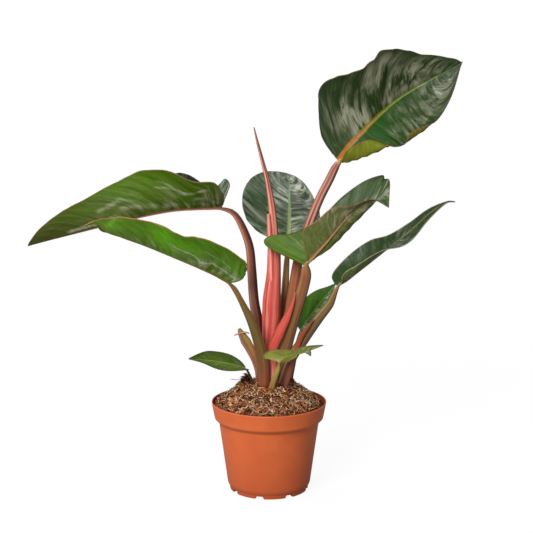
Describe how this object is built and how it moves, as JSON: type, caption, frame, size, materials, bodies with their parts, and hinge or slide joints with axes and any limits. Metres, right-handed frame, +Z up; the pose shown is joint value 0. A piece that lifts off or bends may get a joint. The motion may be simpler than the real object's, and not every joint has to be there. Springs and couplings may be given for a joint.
{
  "type": "potted philodendron plant",
  "caption": "Young broad-leaved philodendron with red stalks and a rolled new leaf, standing in a tapered plastic nursery pot.",
  "frame": {"origin": "centre of the underside of the pot, on the surface it stands on", "axes": "+Z straight up, -Y towards the front of the plant, +X to its right as seen from the front"},
  "size_m": [0.3862, 0.1896, 0.4067],
  "materials": {
    "terracotta_plastic": "satin",
    "peat_and_coir": "matte",
    "crown_bark": "matte",
    "perlite": "matte",
    "bark": "matte",
    "leaf_dark_gloss": "satin",
    "leaf_fresh_green": "satin",
    "stalk_pink": "satin",
    "stalk_brown": "satin",
    "stalk_olive": "satin",
    "spear_red": "satin",
    "dry_cork": "matte"
  },
  "bodies": {
    "root": {"nursery_pot": "terracotta_plastic", "potting_mix": "peat_and_coir", "root_crown": "crown_bark", "perlite_grain_1": "perlite", "perlite_grain_2": "perlite", "perlite_grain_3": "perlite", "perlite_grain_4": "perlite", "perlite_grain_5": "perlite", "perlite_grain_6": "perlite", "bark_chip_1": "bark", "bark_chip_2": "bark", "bark_chip_3": "bark", "bark_chip_4": "bark", "bark_chip_5": "bark", "leaf_a_blade": "leaf_dark_gloss", "leaf_b_blade": "leaf_dark_gloss", "leaf_c_blade": "leaf_dark_gloss", "leaf_d_blade": "leaf_dark_gloss", "leaf_e_blade": "leaf_dark_gloss", "leaf_f_blade": "leaf_fresh_green", "leaf_g_blade": "leaf_fresh_green", "leaf_i_blade": "leaf_fresh_green", "leaf_j_blade": "leaf_fresh_green", "leaf_a_stalk": "stalk_pink", "leaf_b_stalk": "stalk_brown", "leaf_c_stalk": "stalk_olive", "leaf_d_stalk": "stalk_olive", "leaf_e_stalk": "stalk_olive", "leaf_f_stalk": "stalk_olive", "leaf_g_stalk": "stalk_olive", "leaf_i_stalk": "stalk_olive", "leaf_j_stalk": "stalk_brown", "spear_leaf": "spear_red", "spear_sheath": "spear_red", "inner_sheath": "stalk_pink", "red_sheath": "spear_red", "dry_stub": "dry_cork"}
  },
  "joints": []
}
